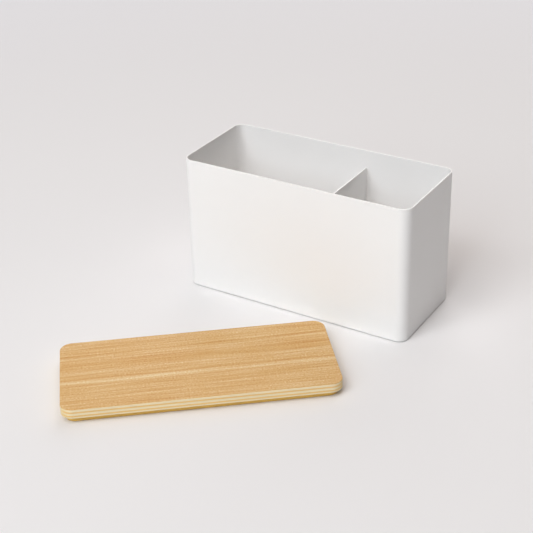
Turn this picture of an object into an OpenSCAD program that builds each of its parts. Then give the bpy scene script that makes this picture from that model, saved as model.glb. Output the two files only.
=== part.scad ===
// Desk organizer: an open sheet-steel box with a loose divider and a lift-off plywood lid.
// Millimetres. The origin is on the table, under the middle of the box. +X runs along
// the box, to the right, +Y to its back and +Z up. The lid lies in front of the box.

/* [Box] */
// Length of the box, outside
box_w = 260; // [180:1:400]
// Depth of the box, outside
box_d = 111; // [80:1:200]
// Height of the rim above the table
rim_h = 149; // [90:1:250]
// Outside radius of the upright corners
corner_r = 11; // [7:0.5:25]
// Thickness of the steel sheet
sheet_t = 1.5; // [0.8:0.1:2]
// Rounding of the sheet's cut edges, at the rim and below
edge_round = 0.3; // [0.1:0.05:0.35]
// Height of the walls' lower edge above the table
ground_gap = 1; // [0.5:0.1:3]
// How far the base plate is set up inside the walls
base_recess = 1.5; // [0.5:0.1:4]
// From the outside of the walls in to the edge of the foot pad
pad_inset = 6; // [4:0.5:20]

/* [Divider] */
// Middle of the divider's plate, from the middle of the box
divider_x = 30; // [-20:1:60]
// Thickness of the divider's plate
divider_t = 1.5; // [0.6:0.1:2]
// From the rim down to the top of the divider
divider_drop = 19; // [8:1:60]
// Room between the divider and each long wall
divider_gap = 1.5; // [0.5:0.1:3]
// Length of the foot folded along the base
foot_l = 30; // [18:1:45]
// Inside radius of the fold
fold_r = 1; // [0.5:0.1:3]
// Rounding of the divider's two upper corners
divider_corner_r = 1; // [0.5:0.5:8]
// Thickness of the magnet sheet under the foot
magnet_t = 0.8; // [0.5:0.1:2]
// From the foot's edges in to the edges of the magnet sheet
magnet_inset = 2; // [1:0.5:5]

/* [Lid] */
// How far the lid stands out past the walls, all round
lid_overhang = 2.5; // [0:0.5:6]
// Radius of the lid's upright corners
lid_corner_r = 12; // [8:0.5:25]
// Thickness of the oak veneer on both faces
veneer_t = 0.4; // [0.2:0.1:1]
// Thickness of a ply whose grain runs along the lid
long_ply_t = 2.35; // [1:0.05:4]
// Thickness of a ply whose grain runs across the lid
cross_ply_t = 1.5; // [0.8:0.05:3]
// Thickness of the lowest ply of the board
back_ply_t = 1.5; // [0.8:0.05:3]
// Rounding of the board's upper edge
top_arris = 0.8; // [0.2:0.1:1.2]
// Thickness of the panel that drops inside the walls, veneer included
insert_t = 6.2; // [2:0.1:12]
// Room between that panel and the inside of the walls
seat_gap = 0.4; // [0.2:0.1:1.5]
// Bevel that leads the panel in between the walls
lead_in = 0.3; // [0.1:0.05:1]

/* [Where the lid lies] */
// Middle of the lid, along X
lid_x = -18; // [-60:1:60]
// From the box's front to the lid's nearest corner
lid_gap = 24.5; // [5:0.5:150]
// Turn of the lid, anticlockwise from above
lid_turn = 39.3; // [0:0.1:45]

/* [Hidden] */
$fn = 64;

// Colours
POWDER_COAT = [0.93, 0.93, 0.92];
PAD_GREY = [0.55, 0.55, 0.54];
MAGNET_BROWN = [0.22, 0.2, 0.19];
OAK = [0.85, 0.7, 0.5];
LONG_PLY = [0.92, 0.84, 0.69];
CROSS_PLY = [0.86, 0.72, 0.5];

// Heights of the box's layers above the table
base_z = ground_gap + base_recess;
floor_z = base_z + sheet_t;

// Inside of the walls
inner_w = box_w - 2 * sheet_t;
inner_d = box_d - 2 * sheet_t;
inner_r = corner_r - sheet_t;

// Corners of the foot pad, concentric with the box's down to a smallest radius
pad_min_r = 2;
pad_r = max(corner_r - pad_inset, pad_min_r);

// Divider, standing on its magnet sheet
divider_z = floor_z + magnet_t;
divider_h = rim_h - divider_drop - divider_z;
divider_l = inner_d - 2 * divider_gap;
fold_out_r = fold_r + divider_t;
magnet_w = foot_l - fold_out_r - 2 * magnet_inset;

// Outline of the lid's board and of the panel under it
lid_w = box_w + 2 * lid_overhang;
lid_d = box_d + 2 * lid_overhang;
insert_w = inner_w - 2 * seat_gap;
insert_d = inner_d - 2 * seat_gap;
insert_r = inner_r - seat_gap;

// Middle of the lid along Y, from how far the turned lid reaches towards the box
lid_reach = sin(lid_turn) * (lid_w / 2 - lid_corner_r)
          + cos(lid_turn) * (lid_d / 2 - lid_corner_r) + lid_corner_r;
lid_y = -(box_d / 2 + lid_gap + lid_reach);

// Layers of the lid's board, from the top down, and how high each one's top is
BOARD_LAYERS = [veneer_t, long_ply_t, cross_ply_t, long_ply_t, cross_ply_t, back_ply_t];
function layers_above(n) = n == 0 ? 0 : BOARD_LAYERS[n - 1] + layers_above(n - 1);
board_t = layers_above(len(BOARD_LAYERS));
lid_top_z = insert_t + board_t;

// ---- Shapes used by several pieces ----

// Rectangle with round corners, about the origin
module round_rect(w, d, r) {
    square([w, d - 2 * r], center = true);
    square([w - 2 * r, d], center = true);
    for (x = [-1, 1], y = [-1, 1])
        translate([x * (w / 2 - r), y * (d / 2 - r)])
            circle(r);
}

// Flat slab with round corners, its underside at z
module slab(w, d, r, z, t) {
    translate([0, 0, z])
        linear_extrude(t)
            round_rect(w, d, r);
}

// Runs a section round a rectangle with round corners. The section's X is counted outwards
// from the middle of a corner's arc, so the rectangle's own edge is at X = r. Its Y is height.
module around_edge(w, d, r) {
    for (quarter = [0:3]) {
        x = quarter == 0 || quarter == 3 ? 1 : -1;
        y = quarter < 2 ? 1 : -1;
        run = quarter % 2 == 0 ? d : w;
        translate([x * (w / 2 - r), y * (d / 2 - r), 0])
            rotate(90 * quarter) {
                rotate_extrude(angle = 90)
                    children();
                rotate([90, 0, 0])
                    linear_extrude(run - 2 * r)
                        children();
            }
    }
}

// Upright section of the sheet, with both cut edges rounded. Its outer face is at X = 0.
module sheet_section(h) {
    translate([-sheet_t, edge_round])
        square([sheet_t, h - 2 * edge_round]);
    translate([edge_round - sheet_t, 0])
        square([sheet_t - 2 * edge_round, h]);
    for (x = [edge_round - sheet_t, -edge_round], y = [edge_round, h - edge_round])
        translate([x, y])
            circle(edge_round);
}

// What a rounding of radius e takes off a corner that points to +X and +Y, at the origin
module rounding_cut(e) {
    translate([-e, -e])
        difference() {
            square(2 * e);
            circle(e);
        }
}

// ---- Box ----

// Band of sheet bent to a ring, open above and below
module wall_shell() {
    color(POWDER_COAT)
        around_edge(box_w, box_d, corner_r)
            translate([corner_r, ground_gap])
                sheet_section(rim_h - ground_gap);
}

// Plate welded in between the walls
module base_plate() {
    color(POWDER_COAT)
        slab(inner_w, inner_d, inner_r, base_z, sheet_t);
}

// Soft pad under the base plate, which carries the box clear of the table
module foot_pad() {
    color(PAD_GREY)
        slab(box_w - 2 * pad_inset, box_d - 2 * pad_inset, pad_r, 0, base_z);
}

// ---- Divider ----

// Plate with a foot folded to the left along its lower edge. The section is drawn with
// the plate's right face at X = 0 and the foot's underside at Y = 0.
module divider_section() {
    translate([-divider_t, fold_out_r])
        square([divider_t, divider_h - fold_out_r]);
    translate([-foot_l, 0])
        square([foot_l - fold_out_r, divider_t]);
    translate([-fold_out_r, fold_out_r])
        intersection() {
            difference() {
                circle(fold_out_r);
                circle(fold_r);
            }
            translate([0, -fold_out_r])
                square(fold_out_r);
        }
}

// Outline of the divider seen along X, with its upper corners rounded
module divider_outline() {
    square([divider_l, divider_h - divider_corner_r]);
    translate([divider_corner_r, 0])
        square([divider_l - 2 * divider_corner_r, divider_h]);
    for (y = [divider_corner_r, divider_l - divider_corner_r])
        translate([y, divider_h - divider_corner_r])
            circle(divider_corner_r);
}

module divider_plate() {
    color(POWDER_COAT)
        translate([divider_x + divider_t / 2, -divider_l / 2, divider_z])
            intersection() {
                translate([0, divider_l, 0])
                    rotate([90, 0, 0])
                        linear_extrude(divider_l)
                            divider_section();
                translate([-foot_l, 0, 0])
                    rotate([90, 0, 90])
                        linear_extrude(foot_l)
                            divider_outline();
            }
}

// Magnet sheet under the foot, which holds the divider where it is put
module divider_magnet() {
    color(MAGNET_BROWN)
        translate([divider_x + divider_t / 2 - foot_l + magnet_inset,
                   magnet_inset - divider_l / 2, floor_z])
            cube([magnet_w, divider_l - 2 * magnet_inset, magnet_t]);
}

// ---- Lid ----

// Puts a piece of the lid where the lid lies
module at_lid() {
    translate([lid_x, lid_y, 0])
        rotate(lid_turn)
            children();
}

// Layer n of the board, from the top. The rounding of the upper edge runs through
// the layers that it reaches.
module board_layer(n) {
    top = lid_top_z - layers_above(n);
    difference() {
        slab(lid_w, lid_d, lid_corner_r, top - BOARD_LAYERS[n], BOARD_LAYERS[n]);
        if (layers_above(n) < top_arris)
            around_edge(lid_w, lid_d, lid_corner_r)
                translate([lid_corner_r, lid_top_z])
                    rounding_cut(top_arris);
    }
}

module lid_face_veneer() {
    color(OAK)
        at_lid()
            board_layer(0);
}

module lid_ply(n) {
    color(n % 2 == 1 ? LONG_PLY : CROSS_PLY)
        at_lid()
            board_layer(n);
}

// Panel glued under the board, with a bevel round its lower edge
module insert_panel() {
    difference() {
        slab(insert_w, insert_d, insert_r, 0, insert_t);
        around_edge(insert_w, insert_d, insert_r)
            translate([insert_r, 0])
                polygon([[-lead_in, 0], [0, lead_in], [lead_in, 0], [0, -lead_in]]);
    }
}

module lid_insert_core() {
    color(CROSS_PLY)
        at_lid()
            difference() {
                insert_panel();
                slab(lid_w, lid_d, lid_corner_r, -lid_top_z, lid_top_z + veneer_t);
            }
}

module lid_insert_veneer() {
    color(OAK)
        at_lid()
            intersection() {
                insert_panel();
                slab(lid_w, lid_d, lid_corner_r, -lid_top_z, lid_top_z + veneer_t);
            }
}

wall_shell();
base_plate();
foot_pad();
divider_plate();
divider_magnet();
lid_face_veneer();
lid_ply(1);  // lid_ply_1
lid_ply(2);  // lid_ply_2
lid_ply(3);  // lid_ply_3
lid_ply(4);  // lid_ply_4
lid_ply(5);  // lid_ply_5
lid_insert_core();
lid_insert_veneer();
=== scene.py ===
"""Looks of a desk organizer: a white powder-coated steel box with a loose divider, and its
oak-veneered plywood lid, which lies on the table in front of it. Metres throughout."""

import math

import bpy
from mathutils import Matrix, Vector


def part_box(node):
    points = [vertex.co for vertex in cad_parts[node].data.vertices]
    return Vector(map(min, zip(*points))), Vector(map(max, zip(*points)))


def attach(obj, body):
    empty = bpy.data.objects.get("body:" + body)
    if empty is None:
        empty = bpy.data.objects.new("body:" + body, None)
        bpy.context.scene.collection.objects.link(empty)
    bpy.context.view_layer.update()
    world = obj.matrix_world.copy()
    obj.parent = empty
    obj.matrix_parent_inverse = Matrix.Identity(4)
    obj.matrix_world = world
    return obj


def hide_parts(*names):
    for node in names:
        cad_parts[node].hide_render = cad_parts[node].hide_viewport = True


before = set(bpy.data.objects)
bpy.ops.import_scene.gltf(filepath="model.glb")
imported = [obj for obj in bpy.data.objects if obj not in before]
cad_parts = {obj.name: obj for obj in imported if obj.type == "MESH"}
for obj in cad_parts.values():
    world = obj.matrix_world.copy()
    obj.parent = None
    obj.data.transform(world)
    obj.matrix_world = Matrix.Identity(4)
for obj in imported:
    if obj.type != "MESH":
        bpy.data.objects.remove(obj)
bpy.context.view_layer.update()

MM = 0.001

# ---- Sizes that the frame's boxes don't say, as in the part ----

CORNER_R = 11 * MM           # outside radius of the box's upright corners
EDGE_ROUND = 0.3 * MM        # rounding of the walls' cut edges
DIVIDER_T = 1.5 * MM         # the divider's plate
FOLD_R = 1.0 * MM            # inside radius of the divider's fold
FOLD_OUT_R = FOLD_R + DIVIDER_T
DIVIDER_CORNER_R = 1.0 * MM  # the divider's upper corners
LID_OVERHANG = 2.5 * MM      # the lid past the walls
LID_CORNER_R = 12 * MM       # the lid's upright corners
SEAT_GAP = 0.4 * MM          # between the walls and the panel under the lid
TOP_ARRIS = 0.8 * MM         # rounding of the board's upper edge
LEAD_IN = 0.3 * MM           # bevel of the panel's lower edge
LID_TURN = math.radians(39.3)

# ---- Sizes that only the looks have ----

BEAD_R = 0.7 * MM            # painted bead along the seam of floor and walls
DIVIDER_ROUND = 0.25 * MM    # rounding of the divider's cut edges

# ---- Sizes and places read from the frame ----

wall_lo, wall_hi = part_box("wall_shell")
base_lo, base_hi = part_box("base_plate")
insert_lo, insert_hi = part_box("lid_insert_core")
WALL_L = wall_hi.x - wall_lo.x
WALL_D = wall_hi.y - wall_lo.y
SHEET_T = base_lo.x - wall_lo.x
INNER_L = WALL_L - 2 * SHEET_T
INNER_D = WALL_D - 2 * SHEET_T
INNER_R = CORNER_R - SHEET_T
RIM_Z = wall_hi.z
FLOOR_Z = base_hi.z
LID_CENTRE = Vector(((insert_lo.x + insert_hi.x) / 2, (insert_lo.y + insert_hi.y) / 2, 0))
BOARD_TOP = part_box("lid_face_veneer")[1].z
PLIES = range(1, 6)          # from the top down
GLUE_LINES = [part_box(f"lid_ply_{number}")[1].z for number in reversed(PLIES)]
GLUE_LINES += [insert_hi.z, insert_lo.z]

# ---- How finely the curves are cut ----

CORNER_STEPS = 24            # round an upright corner
RIM_STEPS = 5                # round a cut edge of the walls
BEAD_STEPS = 16              # round the bead
FOLD_STEPS = 12              # round the divider's fold
CORNER_DEGREES = 9           # between two steps of the divider's upper corners
ROUND_SEGMENTS = 3           # across a cut edge of the divider
SHAPED_STEPS = 17            # points down a layer whose edge is rounded or bevelled
STRAIGHT_STEPS = 2           # and down one whose edge is straight
WELD_REACH = 1e-6            # points closer than this become one
BEVEL_OVER = math.radians(60)         # the divider's edges that are sharper are rounded
SHARP_OVER = math.radians(30)         # edges that are sharper stay sharp in the shading

# ---- Colours, linear ----

COAT_LIGHT = (0.957, 0.950, 0.938)
COAT_DARK = (0.940, 0.933, 0.921)
COAT_EDGE = (0.87, 0.86, 0.84)        # in patches along the rim
OAK_TONES = [(0.0, (0.515, 0.185, 0.002)), (0.5, (0.69, 0.420, 0.152)),
             (1.0, (0.90, 0.77, 0.49))]
OAK_PORE = (0.44, 0.17, 0.010)
OAK_RAY = (0.82, 0.60, 0.35)
OAK_EDGE = (0.72, 0.36, 0.05)         # the veneer's own cut edge
PLY_PALE = (1.0, 0.84, 0.54)
PLY_TAN = (0.97, 0.76, 0.41)
PLY_DARK = (1.0, 0.65, 0.23)
CORE_SIDE = (1.0, 0.64, 0.16)
CORE_END = (1.0, 0.63, 0.14)
GLUE = (0.34, 0.19, 0.07)
# The foam pad's tones: near-black and warm, painted shade that deepens the gap under the walls
PAD_SHADE_LIGHT = (0.085, 0.066, 0.056)
PAD_SHADE_DARK = (0.055, 0.043, 0.037)
MAGNET_LIGHT = (0.060, 0.055, 0.052)
MAGNET_DARK = (0.040, 0.036, 0.034)
FLOOR_LIGHT = (0.878, 0.878, 0.882)
FLOOR_DARK = (0.868, 0.868, 0.872)
BACKGROUND = (0.76, 0.74, 0.76)
FILL = (0.01, 0.01, 0.01)    # light from all round

# ---- Patterns: features a metre, alike all ways or along each axis ----

COAT_CLOUDS = 9
COAT_GRAIN = 1500
COAT_PEEL = 420
COAT_WEAR = 260
COAT_SHEEN = 60
OAK_DRIFT = (7, 20, 1)
OAK_GROWTH = (8, 380, 1)
OAK_STREAKS = (14, 900, 1)
OAK_FLECKS = (560, 1500, 1)
OAK_PORES = (170, 3600, 1)
OAK_RAYS = (260, 900, 1)
PLY_FIBRES = {"X": (30, 900, 1400), "Y": (900, 30, 1400)}
PLY_CLOUDS = (25, 25, 160)
FOAM_CELLS = 1400
FOAM_CLOUDS = 40
MAGNET_GRIT = 2200
MAGNET_CLOUDS = 50
FLOOR_CLOUDS = 2

# ---- Patterns: the part of a noise that a tone or a mark is drawn from ----

MIDDLE = (0.3, 0.7)
NARROW = (0.35, 0.65)
WIDE = (0.25, 0.75)
WIDER = (0.2, 0.8)
PORE_CUT = (0.60, 0.72)
RAY_CUT = (0.66, 0.76)
POROUS_GROWTH = (0.42, 0.62)  # most pores below the first, few above the second

# ---- Patterns: shares, roughness and relief ----

GRAIN_SHARE = 0.3            # of the coat's tone
PEEL_GRAIN = 0.35            # the fine grain in the coat's relief
RIM_WEAR = 0.35
RIM_BAND = (2.0, 0.3)        # the rim's tone starts and is full so far below it, in roundings
OAK_SHARES = {"growth": 0.62, "streaks": 0.90, "flecks": 1.15}
STREAK_CONTRAST = 1.35
PORE_SHARE = 0.60
FEW_PORES = 0.15
RAY_SHARE = 0.16
SANDED_SHARE = 0.75
SANDED_BAND = (0.35 * MM, 0.1 * MM)   # below the board's top, from full to none
CLOUD_SHARE = 0.3            # of a ply's tone
SIDE_SHADE = 0.88            # a ply's darker side grain
END_SHADE = 0.80             # and its darker end grain
END_GRAIN = (0.25, 0.8)      # how squarely the fibres are cut, from side to end grain
GLUE_SHARE = 0.35
GLUE_BAND = (0.04 * MM, 0.12 * MM)    # from a glue line, from full to none
COAT_ROUGH = (0.43, 0.52)
OAK_ROUGH = (0.46, 0.54)
PORE_ROUGH = 0.15            # more in a pore
PLY_ROUGH = (0.5, 0.62)
FOAM_ROUGH = (0.95, 0.8)
CELL_REACH = (0.0, 0.6)      # from a cell's middle outwards, in cells
MAGNET_ROUGH = (0.6, 0.75)
FLOOR_ROUGH = (0.85, 0.95)
FLOOR_SPECULAR = 0.2
PEEL_DEPTH = 0.02 * MM
PORE_DEPTH = 0.012 * MM
STREAK_RELIEF = 0.4          # of the pores' depth
FIBRE_DEPTH = 0.04 * MM
CELL_DEPTH = 0.15 * MM
GRIT_DEPTH = 0.03 * MM

# ---- The marks in the lid's veneer: place across the lid and width in mm, lightness ----

STREAKS = [(52.6, 1.2, 0.05), (37.6, 1.2, 0.05), (34.4, 1.1, -0.13), (29.1, 1.6, 0.08),
           (17.6, 2.2, -0.06), (13.6, 6.0, -0.05), (4.1, 2.2, 0.09), (-4.9, 1.6, 0.04),
           (-9.2, 0.9, -0.15), (-14.3, 2.6, 0.16), (-26.9, 1.2, -0.05), (-41.7, 1.0, 0.07),
           (-45.4, 1.4, -0.04)]
UNDER_STREAKS = [(27.0, 7.0, -0.05), (6.0, 2.5, 0.07), (-22.0, 4.0, -0.06),
                 (-38.0, 1.2, 0.08)]
FACE_SHIFT = (0.0, 0.0, 0.0)
UNDER_SHIFT = (0.4, 0.7, 0.0)
GRAIN_DRIFT = 0.8 * MM
GRAIN_RISE = 0.02            # of the grain lines nearer the box, along the lid
RISE_ZONE = (-8 * MM, 3 * MM)         # across the lid, from no rise to all of it

# ---- Table, lights and camera ----

TABLE_REACH = 12.0
FADE_FROM = 0.4              # from the box's middle, where the table starts to fade
FADE_TO = 1.7                # and where it has become the background

# Soft square lights: name, azimuth and elevation in degrees, distance and side in metres,
# watts, tint. Azimuth 0 is in front of the box, 90 at its right and 180 behind it.
SOFT_LIGHTS = [("key", -9, 38, 4.5, 3.0, 95.0, (0.915, 1.0, 1.065)),
               ("front_low", 10, 12, 4.5, 1.8, 8.0, (0.96, 1.0, 1.03)),
               ("above", 0, 64, 4.5, 3.2, 88.0, (1.09, 0.99, 0.935)),
               ("behind", 180, 65, 4.0, 2.8, 30.0, (1.10, 0.985, 0.935)),
               ("back_left", 200, 30, 4.0, 2.8, 36.0, (1.02, 1.0, 1.0))]

CAMERA_AZIMUTH = math.radians(31.81)
CAMERA_ELEVATION = math.radians(28.871)
CAMERA_DISTANCE = 1.409
CAMERA_TARGET = Vector((-0.074841, 0.017187, 0.0))
CAMERA_ROLL = math.radians(-1.43)
FOCAL_PIXELS = 1255.0
PICTURE_PIXELS = 533.0       # the picture's width
SENSOR = 36.0


# ---- Node trees: small helpers ----

def add(tree, kind, sockets=None, **settings):
    """A new node. sockets maps an input's name or number to a value or another node's output."""
    node = tree.nodes.new(kind)
    for name, value in settings.items():
        setattr(node, name, value)
    for name, value in (sockets or {}).items():
        if isinstance(value, bpy.types.NodeSocket):
            tree.links.new(value, node.inputs[name])
        else:
            node.inputs[name].default_value = value
    return node


def calc(tree, operation, *values):
    """One step of arithmetic, as a Math node's output."""
    return add(tree, "ShaderNodeMath", dict(enumerate(values)), operation=operation).outputs[0]


def parts(tree, vector):
    """The X, Y and Z of a vector, as outputs by name."""
    return add(tree, "ShaderNodeSeparateXYZ", {0: vector}).outputs


def vector_of(tree, **values):
    """A vector from its X, Y and Z. What isn't given is 0."""
    return add(tree, "ShaderNodeCombineXYZ", values).outputs[0]


def link_object(name, data):
    """A new object at the origin, in the scene."""
    made = bpy.data.objects.new(name, data)
    bpy.context.scene.collection.objects.link(made)
    return made


# ---- Geometry: trees for what follows a path ----

def new_tree(name, inputs):
    """A geometry tree with named inputs, and the outputs of its Group Input by name."""
    tree = bpy.data.node_groups.new(name, "GeometryNodeTree")
    for label, kind in inputs.items():
        tree.interface.new_socket(label, in_out="INPUT", socket_type="NodeSocket" + kind)
    tree.interface.new_socket("Geometry", in_out="OUTPUT", socket_type="NodeSocketGeometry")
    given = tree.nodes.new("NodeGroupInput")
    return tree, {label: given.outputs[label] for label in inputs}


def finish_tree(tree, geometry, material):
    """Ends a geometry tree: real geometry, with its material set."""
    real = add(tree, "GeometryNodeRealizeInstances", {"Geometry": geometry})
    dressed = add(tree, "GeometryNodeSetMaterial",
                  {"Geometry": real.outputs[0], "Material": material})
    out = tree.nodes.new("NodeGroupOutput")
    tree.links.new(dressed.outputs[0], out.inputs[0])


def rounded_path(tree, length, depth, radius, steps):
    """Rectangle with round corners, as a curve about the origin."""
    sides = add(tree, "GeometryNodeCurvePrimitiveQuadrilateral",
                {"Width": length, "Height": depth}, mode="RECTANGLE")
    return add(tree, "GeometryNodeFilletCurve",
               {"Curve": sides.outputs[0], "Radius": radius, "Count": steps},
               mode="POLY").outputs[0]


def swept(tree, path, section):
    """Mesh of a section carried along a path."""
    return add(tree, "GeometryNodeCurveToMesh",
               {"Curve": path, "Profile Curve": section}).outputs[0]


def moved(tree, geometry, offset, **more):
    """Geometry moved by a vector, and turned where more says so."""
    return add(tree, "GeometryNodeTransform",
               {"Geometry": geometry, "Translation": offset, **more}).outputs[0]


def flipped(tree, mesh):
    """Mesh with its faces turned over."""
    return add(tree, "GeometryNodeFlipFaces", {"Mesh": mesh}).outputs[0]


def sheet_ring_tree():
    """Sheet of even thickness run round a rectangle with round corners."""
    tree, put = new_tree("sheet_ring", {
        "Length": "Float", "Depth": "Float", "Height": "Float", "Corner Radius": "Float",
        "Sheet": "Float", "Edge Rounding": "Float", "Corner Steps": "Int",
        "Edge Steps": "Int", "Underside": "Float", "Material": "Material"})
    half_sheet = calc(tree, "MULTIPLY", put["Sheet"], 0.5)
    path = rounded_path(
        tree, calc(tree, "SUBTRACT", put["Length"], put["Sheet"]),
        calc(tree, "SUBTRACT", put["Depth"], put["Sheet"]),
        calc(tree, "SUBTRACT", put["Corner Radius"], half_sheet), put["Corner Steps"])
    section = rounded_path(tree, put["Sheet"], put["Height"], put["Edge Rounding"],
                           put["Edge Steps"])
    middle = calc(tree, "MULTIPLY_ADD", put["Height"], 0.5, put["Underside"])
    ring = moved(tree, swept(tree, path, section), vector_of(tree, Z=middle))
    finish_tree(tree, ring, put["Material"])
    return tree


def seam_bead_tree():
    """A round bead run along the seam where a box's floor meets its walls."""
    tree, put = new_tree("seam_bead", {
        "Length": "Float", "Depth": "Float", "Corner Radius": "Float", "Level": "Float",
        "Bead Radius": "Float", "Corner Steps": "Int", "Round Steps": "Int",
        "Material": "Material"})
    path = rounded_path(tree, put["Length"], put["Depth"], put["Corner Radius"],
                        put["Corner Steps"])
    section = add(tree, "GeometryNodeCurvePrimitiveCircle",
                  {"Resolution": put["Round Steps"], "Radius": put["Bead Radius"]})
    bead = moved(tree, swept(tree, path, section.outputs[0]), vector_of(tree, Z=put["Level"]))
    finish_tree(tree, bead, put["Material"])
    return tree


def edge_inset(tree, put, height):
    """How far the board's edge stands back at a height: its rounding above, its bevel below."""
    rounding_from = calc(tree, "SUBTRACT", put["Board Top"], put["Arris"])
    rise = calc(tree, "MAXIMUM", 0.0, calc(tree, "SUBTRACT", height, rounding_from))
    chord = calc(tree, "SUBTRACT", calc(tree, "MULTIPLY", put["Arris"], put["Arris"]),
                 calc(tree, "MULTIPLY", rise, rise))
    rounding = calc(tree, "SUBTRACT", put["Arris"],
                    calc(tree, "SQRT", calc(tree, "MAXIMUM", chord, 0.0)))
    bevel = calc(tree, "MAXIMUM", 0.0, calc(tree, "SUBTRACT", put["Lead In"], height))
    return calc(tree, "ADD", rounding, bevel)


def layer_section(tree, put):
    """The edge of a layer from its underside to its top, set back where the board's edge is."""
    line = add(tree, "GeometryNodeCurvePrimitiveLine",
               {"Start": vector_of(tree, Y=put["Underside"]),
                "End": vector_of(tree, Y=put["Top"])})
    steps = add(tree, "GeometryNodeResampleCurve",
                {"Curve": line.outputs[0], "Count": put["Edge Steps"]}, mode="COUNT")
    height = parts(tree, tree.nodes.new("GeometryNodeInputPosition").outputs[0])["Y"]
    place = vector_of(tree, X=calc(tree, "MULTIPLY", edge_inset(tree, put, height), -1.0),
                      Y=calc(tree, "MULTIPLY", height, -1.0))
    return add(tree, "GeometryNodeSetPosition",
               {"Geometry": steps.outputs[0], "Position": place}).outputs[0]


def closed(tree, put, side):
    """A swept side with its upper and its lower end filled."""
    join = tree.nodes.new("GeometryNodeJoinGeometry")
    tree.links.new(side, join.inputs[0])
    faces_at_edge = tree.nodes.new("GeometryNodeInputMeshEdgeNeighbors").outputs[0]
    is_open = calc(tree, "LESS_THAN", faces_at_edge, 1.5)   # an open edge has one face
    middle = calc(tree, "MULTIPLY", calc(tree, "ADD", put["Underside"], put["Top"]), 0.5)
    height = parts(tree, tree.nodes.new("GeometryNodeInputPosition").outputs[0])["Z"]
    for level, operation in ((put["Top"], "GREATER_THAN"), (put["Underside"], "LESS_THAN")):
        here = calc(tree, operation, height, middle)
        outline = add(tree, "GeometryNodeMeshToCurve",
                      {"Mesh": side, "Selection": calc(tree, "MULTIPLY", is_open, here)})
        face = add(tree, "GeometryNodeFillCurve", {"Curve": outline.outputs[0]}, mode="NGONS")
        cap = moved(tree, face.outputs[0], vector_of(tree, Z=level))
        if operation == "LESS_THAN":
            cap = flipped(tree, cap)
        tree.links.new(cap, join.inputs[0])
    return add(tree, "GeometryNodeMergeByDistance",
               {"Geometry": join.outputs[0], "Distance": WELD_REACH}).outputs[0]


def board_layer_tree():
    """One layer of a board with round corners. The rounding of the board's upper edge and
    the bevel of its lower edge run through the layers that they reach."""
    tree, put = new_tree("board_layer", {
        "Length": "Float", "Depth": "Float", "Corner Radius": "Float", "Underside": "Float",
        "Top": "Float", "Board Top": "Float", "Arris": "Float", "Lead In": "Float",
        "Corner Steps": "Int", "Edge Steps": "Int", "Centre": "Vector", "Turn": "Float",
        "Material": "Material"})
    path = rounded_path(tree, put["Length"], put["Depth"], put["Corner Radius"],
                        put["Corner Steps"])
    side = flipped(tree, swept(tree, path, layer_section(tree, put)))
    layer = moved(tree, closed(tree, put, side), put["Centre"],
                  Rotation=vector_of(tree, Z=put["Turn"]))
    finish_tree(tree, layer, put["Material"])
    return tree


def plain_mesh(name, tree, sizes):
    """Runs a geometry tree and returns its result as a plain mesh object."""
    holder = link_object(name + "_maker", bpy.data.meshes.new(name))
    maker = holder.modifiers.new("maker", "NODES")
    maker.node_group = tree
    for item in tree.interface.items_tree:
        if item.in_out == "INPUT" and item.name in sizes:
            maker[item.identifier] = sizes[item.name]
    result = holder.evaluated_get(bpy.context.evaluated_depsgraph_get())
    mesh = bpy.data.meshes.new_from_object(result)
    mesh.name = name
    bpy.data.objects.remove(holder)
    return link_object(name, mesh)


# ---- Materials: helpers ----

def new_material(name):
    """An empty Principled material: the material, its tree, its shader and its coordinates."""
    material = bpy.data.materials.new(name)
    material.use_nodes = True
    tree = material.node_tree
    tree.nodes.clear()
    shader = tree.nodes.new("ShaderNodeBsdfPrincipled")
    add(tree, "ShaderNodeOutputMaterial", {"Surface": shader.outputs[0]})
    return material, tree, shader, tree.nodes.new("ShaderNodeTexCoord")


def noise(tree, vector, per_metre, detail=2.0, roughness=0.5):
    """Noise from 0 to 1, with so many features a metre all ways or along each axis."""
    scale = per_metre if isinstance(per_metre, tuple) else (per_metre,) * 3
    place = add(tree, "ShaderNodeMapping", {"Vector": vector, "Scale": scale})
    return add(tree, "ShaderNodeTexNoise",
               {"Vector": place.outputs[0], "Scale": 1.0, "Detail": detail,
                "Roughness": roughness}).outputs[0]


def spread(tree, value, low, high, to_low=0.0, to_high=1.0):
    """Maps a value from one range to another, clamped."""
    return add(tree, "ShaderNodeMapRange",
               {"Value": value, "From Min": low, "From Max": high, "To Min": to_low,
                "To Max": to_high}).outputs[0]


def ramp(tree, value, stops):
    """Colour ramp through (place, linear colour) stops."""
    node = add(tree, "ShaderNodeValToRGB", {"Fac": value})
    while len(node.color_ramp.elements) < len(stops):
        node.color_ramp.elements.new(0.5)
    for element, (place, colour) in zip(node.color_ramp.elements, stops):
        element.position = place
        element.color = (*colour, 1.0)
    return node.outputs[0]


def blend_colours(tree, share, first, second):
    """Mixes a share of the second colour into the first. A colour is an output or a tuple."""
    node = add(tree, "ShaderNodeMix", {0: share}, data_type="RGBA", clamp_factor=True)
    for socket, colour in ((node.inputs[6], first), (node.inputs[7], second)):
        if isinstance(colour, tuple):
            socket.default_value = (*colour, 1.0)
        else:
            tree.links.new(colour, socket)
    return node.outputs[2]


def add_vector(tree, first, second):
    """The sum of two vectors."""
    return add(tree, "ShaderNodeVectorMath", {0: first, 1: second}, operation="ADD").outputs[0]


def darker(colour, share):
    """A share of a colour's light."""
    return tuple(share * part for part in colour)


def dress(tree, shader, colour, roughness, relief, depth):
    """Gives a shader its colour and roughness, and relief of a real depth."""
    tree.links.new(colour, shader.inputs["Base Color"])
    tree.links.new(roughness, shader.inputs["Roughness"])
    node = add(tree, "ShaderNodeBump", {"Height": relief, "Distance": depth, "Strength": 1.0})
    tree.links.new(node.outputs[0], shader.inputs["Normal"])


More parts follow.
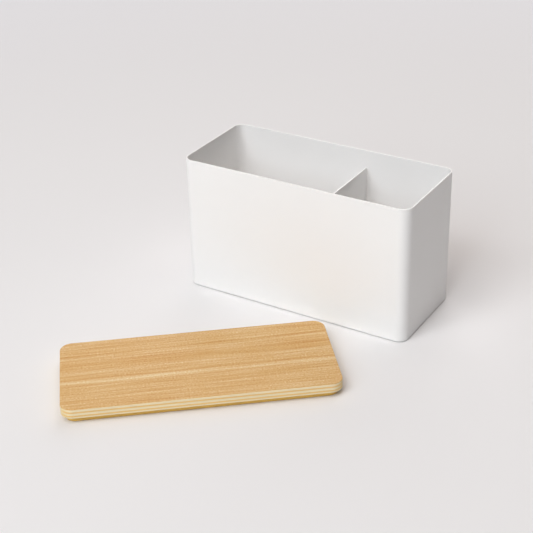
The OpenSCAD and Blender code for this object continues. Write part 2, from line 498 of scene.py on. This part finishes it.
def lid_place(tree, at):
    """Coordinates along (X), across (Y) and through (Z) the lid, from its middle."""
    return add(tree, "ShaderNodeMapping",
               {"Vector": at.outputs["Object"], "Location": LID_CENTRE,
                "Rotation": (0.0, 0.0, LID_TURN)}, vector_type="TEXTURE").outputs[0]


# ---- Materials ----

def powder_coat():
    """White satin powder coat: faint orange peel, and a greyer tone in patches at the rim."""
    material, tree, shader, at = new_material("powder_coat")
    place = at.outputs["Object"]
    clouds = noise(tree, place, COAT_CLOUDS, detail=3.0)
    grain = noise(tree, place, COAT_GRAIN, detail=1.0)
    tone = calc(tree, "ADD", spread(tree, clouds, *MIDDLE, 0.0, 1.0 - GRAIN_SHARE),
                spread(tree, grain, *NARROW, 0.0, GRAIN_SHARE))
    coat = ramp(tree, tone, [(0.0, COAT_DARK), (1.0, COAT_LIGHT)])
    starts, full = (RIM_Z - roundings * EDGE_ROUND for roundings in RIM_BAND)
    at_rim = spread(tree, parts(tree, place)["Z"], starts, full)
    worn = calc(tree, "MULTIPLY", at_rim, noise(tree, place, COAT_WEAR, detail=4.0))
    coat = blend_colours(tree, calc(tree, "MULTIPLY", worn, RIM_WEAR), coat, COAT_EDGE)
    roughness = spread(tree, noise(tree, place, COAT_SHEEN), *MIDDLE, *COAT_ROUGH)
    peel = calc(tree, "ADD", noise(tree, place, COAT_PEEL, detail=1.0),
                calc(tree, "MULTIPLY", grain, PEEL_GRAIN))
    dress(tree, shader, coat, roughness, peel, PEEL_DEPTH)
    return material


def grain_lines(tree, lid, shift):
    """Where a place lies across the grain, and coordinates that follow the grain. The lines
    drift a little, and those nearer the box rise to the right."""
    axes = parts(tree, lid)
    along, across = axes["X"], axes["Y"]
    wander = noise(tree, add_vector(tree, lid, shift), OAK_DRIFT)
    drift = spread(tree, wander, *WIDER, -GRAIN_DRIFT, GRAIN_DRIFT)
    rise = calc(tree, "MULTIPLY", along, spread(tree, across, *RISE_ZONE, 0.0, GRAIN_RISE))
    level = calc(tree, "SUBTRACT", calc(tree, "SUBTRACT", across, drift), rise)
    return level, add_vector(tree, vector_of(tree, X=along, Y=level), shift)


def streak_tone(tree, level, streaks):
    """Tone 0.5, lighter or darker in a bell over each streak."""
    tone = 0.5
    for centre, width, lightness in streaks:
        offset = calc(tree, "DIVIDE", calc(tree, "SUBTRACT", level, centre * MM), width * MM)
        square = calc(tree, "MULTIPLY", offset, offset)
        bell = calc(tree, "POWER", math.e, calc(tree, "MULTIPLY", square, -1.0))
        tone = calc(tree, "MULTIPLY_ADD", bell, STREAK_CONTRAST * lightness, tone)
    return tone


def oak_veneer(name, streaks, shift):
    """Straight-grained oak: the streaks given, growth lines, flecks, pores and rays, and a
    sanded cut edge. shift moves the noise."""
    material, tree, shader, at = new_material(name)
    lid = lid_place(tree, at)
    level, line = grain_lines(tree, lid, shift)
    layers = {"growth": noise(tree, line, OAK_GROWTH, detail=3.0, roughness=0.6),
              "streaks": noise(tree, line, OAK_STREAKS, roughness=0.6),
              "flecks": noise(tree, line, OAK_FLECKS, detail=1.0)}
    tone = streak_tone(tree, level, streaks)
    for label, layer in layers.items():
        tone = calc(tree, "MULTIPLY_ADD", calc(tree, "SUBTRACT", layer, 0.5),
                    OAK_SHARES[label], tone)
    wood = ramp(tree, tone, OAK_TONES)
    pores = calc(tree, "MULTIPLY",
                 spread(tree, noise(tree, line, OAK_PORES, detail=1.0), *PORE_CUT),
                 spread(tree, layers["growth"], *POROUS_GROWTH, 1.0, FEW_PORES))
    wood = blend_colours(tree, calc(tree, "MULTIPLY", pores, PORE_SHARE), wood, OAK_PORE)
    rays = spread(tree, noise(tree, line, OAK_RAYS, detail=1.0), *RAY_CUT)
    wood = blend_colours(tree, calc(tree, "MULTIPLY", rays, RAY_SHARE), wood, OAK_RAY)
    full, none = (BOARD_TOP - below for below in SANDED_BAND)
    sanded = spread(tree, parts(tree, lid)["Z"], full, none, SANDED_SHARE, 0.0)
    wood = blend_colours(tree, sanded, wood, OAK_EDGE)
    roughness = calc(tree, "MULTIPLY_ADD", pores, PORE_ROUGH,
                     spread(tree, layers["growth"], *MIDDLE, *OAK_ROUGH))
    relief = calc(tree, "MULTIPLY_ADD", layers["streaks"], STREAK_RELIEF,
                  calc(tree, "MULTIPLY", pores, -1.0))
    dress(tree, shader, wood, roughness, relief, PORE_DEPTH)
    return material


def ply_edge(name, fibre, side, end):
    """Sanded edge of a ply: the colour of its side grain, and of its end grain. fibre is the
    axis of the lid that its grain follows."""
    material, tree, shader, at = new_material(name)
    place = lid_place(tree, at)
    facing = add(tree, "ShaderNodeMapping",
                 {"Vector": at.outputs["Normal"], "Rotation": (0.0, 0.0, LID_TURN)},
                 vector_type="TEXTURE").outputs[0]
    cut = calc(tree, "ABSOLUTE", parts(tree, facing)[fibre])
    fibres = noise(tree, place, PLY_FIBRES[fibre], detail=3.0, roughness=0.6)
    clouds = noise(tree, place, PLY_CLOUDS)
    tone = calc(tree, "ADD", spread(tree, fibres, *WIDE, 0.0, 1.0 - CLOUD_SHARE),
                spread(tree, clouds, *MIDDLE, 0.0, CLOUD_SHARE))
    along = ramp(tree, tone, [(0.0, darker(side, SIDE_SHADE)), (1.0, side)])
    across = ramp(tree, tone, [(0.0, darker(end, END_SHADE)), (1.0, end)])
    wood = blend_colours(tree, spread(tree, cut, *END_GRAIN), along, across)
    height = parts(tree, place)["Z"]
    for level in GLUE_LINES:
        gap = calc(tree, "ABSOLUTE", calc(tree, "SUBTRACT", height, level))
        glued = spread(tree, gap, *GLUE_BAND, GLUE_SHARE, 0.0)
        wood = blend_colours(tree, glued, wood, GLUE)
    roughness = spread(tree, fibres, *MIDDLE, *PLY_ROUGH)
    dress(tree, shader, wood, roughness, fibres, FIBRE_DEPTH)
    return material


def foam_rubber():
    """Dull foam rubber with fine cells. Its near-black, warm tones are painted shade that deepens
    the gap under the walls.
    """
    material, tree, shader, at = new_material("foam_rubber")
    place = at.outputs["Object"]
    cells = add(tree, "ShaderNodeTexVoronoi",
                {"Vector": place, "Scale": FOAM_CELLS}).outputs["Distance"]
    clouds = noise(tree, place, FOAM_CLOUDS, detail=3.0)
    colour = ramp(tree, clouds, [(WIDER[0], PAD_SHADE_DARK), (WIDER[1], PAD_SHADE_LIGHT)])
    roughness = spread(tree, cells, *CELL_REACH, *FOAM_ROUGH)
    dress(tree, shader, colour, roughness, cells, CELL_DEPTH)
    return material


def magnet_sheet():
    """Flexible magnet sheet: near-black, with a gritty face."""
    material, tree, shader, at = new_material("magnet_sheet")
    place = at.outputs["Object"]
    grit = noise(tree, place, MAGNET_GRIT)
    clouds = noise(tree, place, MAGNET_CLOUDS, detail=3.0)
    colour = ramp(tree, clouds, [(WIDER[0], MAGNET_DARK), (WIDER[1], MAGNET_LIGHT)])
    roughness = spread(tree, grit, *MIDDLE, *MAGNET_ROUGH)
    dress(tree, shader, colour, roughness, grit, GRIT_DEPTH)
    return material


def studio_floor():
    """Matt pale table, with a faint unevenness of tone. Far from the box it turns into the
    plain background, as it is seen, and keeps its shadows near the box."""
    material, tree, shader, at = new_material("studio_floor")
    place = at.outputs["Object"]
    clouds = noise(tree, place, FLOOR_CLOUDS)
    colour = ramp(tree, clouds, [(MIDDLE[0], FLOOR_DARK), (MIDDLE[1], FLOOR_LIGHT)])
    tree.links.new(colour, shader.inputs["Base Color"])
    tree.links.new(spread(tree, clouds, *MIDDLE, *FLOOR_ROUGH), shader.inputs["Roughness"])
    shader.inputs["Specular IOR Level"].default_value = FLOOR_SPECULAR
    away = add(tree, "ShaderNodeVectorMath", {0: place}, operation="LENGTH")
    far = add(tree, "ShaderNodeMapRange",
              {"Value": away.outputs["Value"], "From Min": FADE_FROM, "From Max": FADE_TO},
              interpolation_type="SMOOTHSTEP")
    ray = tree.nodes.new("ShaderNodeLightPath").outputs
    looked_at = calc(tree, "MAXIMUM", ray["Is Camera Ray"], ray["Is Glossy Ray"])
    plain = add(tree, "ShaderNodeEmission", {"Color": (*BACKGROUND, 1.0), "Strength": 1.0})
    both = add(tree, "ShaderNodeMixShader",
               {0: calc(tree, "MULTIPLY", looked_at, far.outputs[0]), 1: shader.outputs[0],
                2: plain.outputs[0]})
    surface = next(node for node in tree.nodes if node.bl_idname == "ShaderNodeOutputMaterial")
    tree.links.new(both.outputs[0], surface.inputs["Surface"])
    return material


# ---- Pieces ----

def settle(piece, body, stands_for=None):
    """Shades a piece smoothly up to an angle, keeps flat faces flat, and hangs it on its body."""
    piece.data.shade_smooth()
    piece.data.set_sharp_from_angle(angle=SHARP_OVER)
    flat = piece.modifiers.new("flat_faces", "WEIGHTED_NORMAL")
    flat.keep_sharp = True
    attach(piece, body)
    if stands_for:
        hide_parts(stands_for)


def make_box(coat):
    """The walls as one band of sheet, and the bead of paint along the floor inside them."""
    walls = plain_mesh("box_walls", sheet_ring_tree(), {
        "Length": WALL_L, "Depth": WALL_D, "Height": RIM_Z - wall_lo.z,
        "Corner Radius": CORNER_R, "Sheet": SHEET_T, "Edge Rounding": EDGE_ROUND,
        "Corner Steps": CORNER_STEPS, "Edge Steps": RIM_STEPS, "Underside": wall_lo.z,
        "Material": coat})
    settle(walls, "box", "wall_shell")
    bead = plain_mesh("floor_seam", seam_bead_tree(), {
        "Length": INNER_L, "Depth": INNER_D, "Corner Radius": INNER_R, "Level": FLOOR_Z,
        "Bead Radius": BEAD_R, "Corner Steps": CORNER_STEPS, "Round Steps": BEAD_STEPS,
        "Material": coat})
    settle(bead, "box")


def fold_point(s, drop):
    """The divider's outer face, s along it from the top edge: down, round the fold, then left."""
    turn = FOLD_OUT_R * math.pi / 2
    if s < drop - FOLD_OUT_R:
        return Vector((0.0, 0.0, -s))
    s -= drop - FOLD_OUT_R
    if s < turn:
        angle = s / FOLD_OUT_R
        facing = Vector((math.cos(angle), 0.0, -math.sin(angle)))
        return Vector((-FOLD_OUT_R, 0.0, FOLD_OUT_R - drop)) + facing * FOLD_OUT_R
    return Vector((turn - s - FOLD_OUT_R, 0.0, -drop))


def divider_stops(drop, reach):
    """Where the divider's strip has its cross lines, along it from the top edge."""
    fold_from = drop - FOLD_OUT_R
    fold_to = fold_from + FOLD_OUT_R * math.pi / 2
    corner = [DIVIDER_CORNER_R * (1 - math.cos(math.radians(angle)))
              for angle in range(0, 91, CORNER_DEGREES)]
    fold = [fold_from + (fold_to - fold_from) * k / FOLD_STEPS for k in range(FOLD_STEPS + 1)]
    return corner + fold + [fold_to + reach - FOLD_OUT_R]


def divider_blank(coat):
    """The divider as a folded sheet: one strip of faces across its width, rounded at the top."""
    lo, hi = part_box("divider_plate")
    drop = hi.z - lo.z
    half = (hi.y - lo.y) / 2
    middle = (hi.y + lo.y) / 2
    stops = divider_stops(drop, hi.x - lo.x)
    verts = []
    for s in stops:
        rest = max(0.0, DIVIDER_CORNER_R - s)
        inset = DIVIDER_CORNER_R - math.sqrt(DIVIDER_CORNER_R ** 2 - rest ** 2)
        point = fold_point(s, drop)
        for side in (-1, 1):
            verts.append(point + Vector((hi.x, middle + side * (half - inset), hi.z)))
    faces = [(2 * k, 2 * k + 2, 2 * k + 3, 2 * k + 1) for k in range(len(stops) - 1)]
    mesh = bpy.data.meshes.new("divider")
    mesh.from_pydata(verts, [], faces)
    mesh.materials.append(coat)
    return link_object("divider", mesh)


def make_divider(coat):
    """The folded sheet, given its thickness inwards and its cut edges rounded."""
    divider = divider_blank(coat)
    sheet = divider.modifiers.new("sheet", "SOLIDIFY")
    sheet.thickness = DIVIDER_T
    sheet.offset = -1.0
    sheet.use_even_offset = True
    edges = divider.modifiers.new("rounded_edges", "BEVEL")
    edges.width = DIVIDER_ROUND
    edges.segments = ROUND_SEGMENTS
    edges.limit_method = "ANGLE"
    edges.angle_limit = BEVEL_OVER
    settle(divider, "divider", "divider_plate")


def lid_layers():
    """Each layer of the lid: the node it stands for, its name, its material and its slot."""
    face = oak_veneer("oak_veneer", STREAKS, FACE_SHIFT)
    under = oak_veneer("oak_veneer_under", UNDER_STREAKS, UNDER_SHIFT)
    long_ply = ply_edge("long_ply", "X", PLY_PALE, PLY_TAN)
    cross_ply = ply_edge("cross_ply", "Y", PLY_TAN, PLY_DARK)
    core = ply_edge("insert_core", "Y", CORE_SIDE, CORE_END)
    layers = [("lid_face_veneer", "top_veneer", face, "oak_veneer"),
              ("lid_insert_veneer", "under_veneer", under, "oak_veneer")]
    for number in PLIES:
        ply, slot = (long_ply, "long_ply") if number % 2 else (cross_ply, "cross_ply")
        layers.append((f"lid_ply_{number}", f"ply_{number}", ply, slot))
    layers.append(("lid_insert_core", "under_panel", core, "cross_ply"))
    return layers


def make_lid():
    """The lid's layers, each as high as its own solid. The board reaches past the walls, and
    the panel under it stays clear of them inside."""
    tree = board_layer_tree()
    for node, name, material, slot in lid_layers():
        lo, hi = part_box(node)
        under = node.startswith("lid_insert")
        shaped = node in ("lid_face_veneer", "lid_ply_1", "lid_insert_veneer")
        reach = -SHEET_T - SEAT_GAP if under else LID_OVERHANG
        layer = plain_mesh(name, tree, {
            "Length": WALL_L + 2 * reach, "Depth": WALL_D + 2 * reach,
            "Corner Radius": CORNER_R + reach if under else LID_CORNER_R,
            "Underside": lo.z, "Top": hi.z, "Board Top": BOARD_TOP, "Arris": TOP_ARRIS,
            "Lead In": LEAD_IN if under else 0.0, "Corner Steps": CORNER_STEPS,
            "Edge Steps": SHAPED_STEPS if shaped else STRAIGHT_STEPS,
            "Centre": LID_CENTRE, "Turn": LID_TURN, "Material": material})
        settle(layer, "lid", node)


def dress_nodes(materials):
    """Gives the solids that stay as they are their materials."""
    for node, material in materials.items():
        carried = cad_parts[node]
        carried.data.materials.clear()
        carried.data.materials.append(material)


paint = powder_coat()
make_box(paint)
make_divider(paint)
make_lid()
dress_nodes({"base_plate": paint, "foot_pad": foam_rubber(), "divider_magnet": magnet_sheet()})


# ---- Table, lights and camera ----

def make_table():
    """A flat table under the object, not part of it."""
    mesh = bpy.data.meshes.new("table")
    corners = ((-1, -1), (1, -1), (1, 1), (-1, 1))
    mesh.from_pydata([(x * TABLE_REACH, y * TABLE_REACH, 0.0) for x, y in corners], [],
                     [(0, 1, 2, 3)])
    mesh.materials.append(studio_floor())
    link_object("table", mesh)


def toward(azimuth, elevation):
    """Unit vector from the object towards a light or the camera."""
    return Vector((math.sin(azimuth) * math.cos(elevation),
                   -math.cos(azimuth) * math.cos(elevation), math.sin(elevation)))


def soft_light(name, azimuth, elevation, distance, size, power, colour):
    """Square soft light aimed at the object."""
    data = bpy.data.lights.new(name, "AREA")
    data.shape = "SQUARE"
    data.size = size
    data.energy = power
    data.color = colour
    lamp = link_object(name, data)
    direction = toward(math.radians(azimuth), math.radians(elevation))
    lamp.location = direction * distance
    lamp.rotation_euler = direction.to_track_quat("Z", "Y").to_euler()


def make_world():
    """A plain background where it is seen, and hardly any light from it elsewhere."""
    world = bpy.data.worlds.new("studio")
    bpy.context.scene.world = world
    world.use_nodes = True
    sky = world.node_tree
    sky.nodes.clear()
    ray = sky.nodes.new("ShaderNodeLightPath").outputs
    through = calc(sky, "MAXIMUM", ray["Is Glossy Ray"], ray["Is Transmission Ray"])
    seen = calc(sky, "MAXIMUM", ray["Is Camera Ray"], through)
    fill = add(sky, "ShaderNodeBackground", {"Color": (*FILL, 1.0), "Strength": 1.0})
    pale = add(sky, "ShaderNodeBackground", {"Color": (*BACKGROUND, 1.0), "Strength": 1.0})
    both = add(sky, "ShaderNodeMixShader", {0: seen, 1: fill.outputs[0], 2: pale.outputs[0]})
    add(sky, "ShaderNodeOutputWorld", {"Surface": both.outputs[0]})


def make_camera():
    """A camera where the picture was taken from, rolled a little about its line of sight."""
    lens = bpy.data.cameras.new("photo_camera")
    lens.sensor_width = SENSOR
    lens.lens = FOCAL_PIXELS / PICTURE_PIXELS * SENSOR
    camera = link_object("photo_camera", lens)
    back = toward(CAMERA_AZIMUTH, CAMERA_ELEVATION)
    level_right = Vector((math.cos(CAMERA_AZIMUTH), math.sin(CAMERA_AZIMUTH), 0.0))
    level_up = back.cross(level_right)
    right = math.cos(CAMERA_ROLL) * level_right + math.sin(CAMERA_ROLL) * level_up
    up = math.cos(CAMERA_ROLL) * level_up - math.sin(CAMERA_ROLL) * level_right
    turned = Matrix((right, up, back)).transposed().to_4x4()
    camera.matrix_world = Matrix.Translation(CAMERA_TARGET + back * CAMERA_DISTANCE) @ turned
    bpy.context.scene.camera = camera


make_table()
for light in SOFT_LIGHTS:
    soft_light(*light)
make_world()
make_camera()
bpy.context.scene.view_settings.view_transform = "Standard"
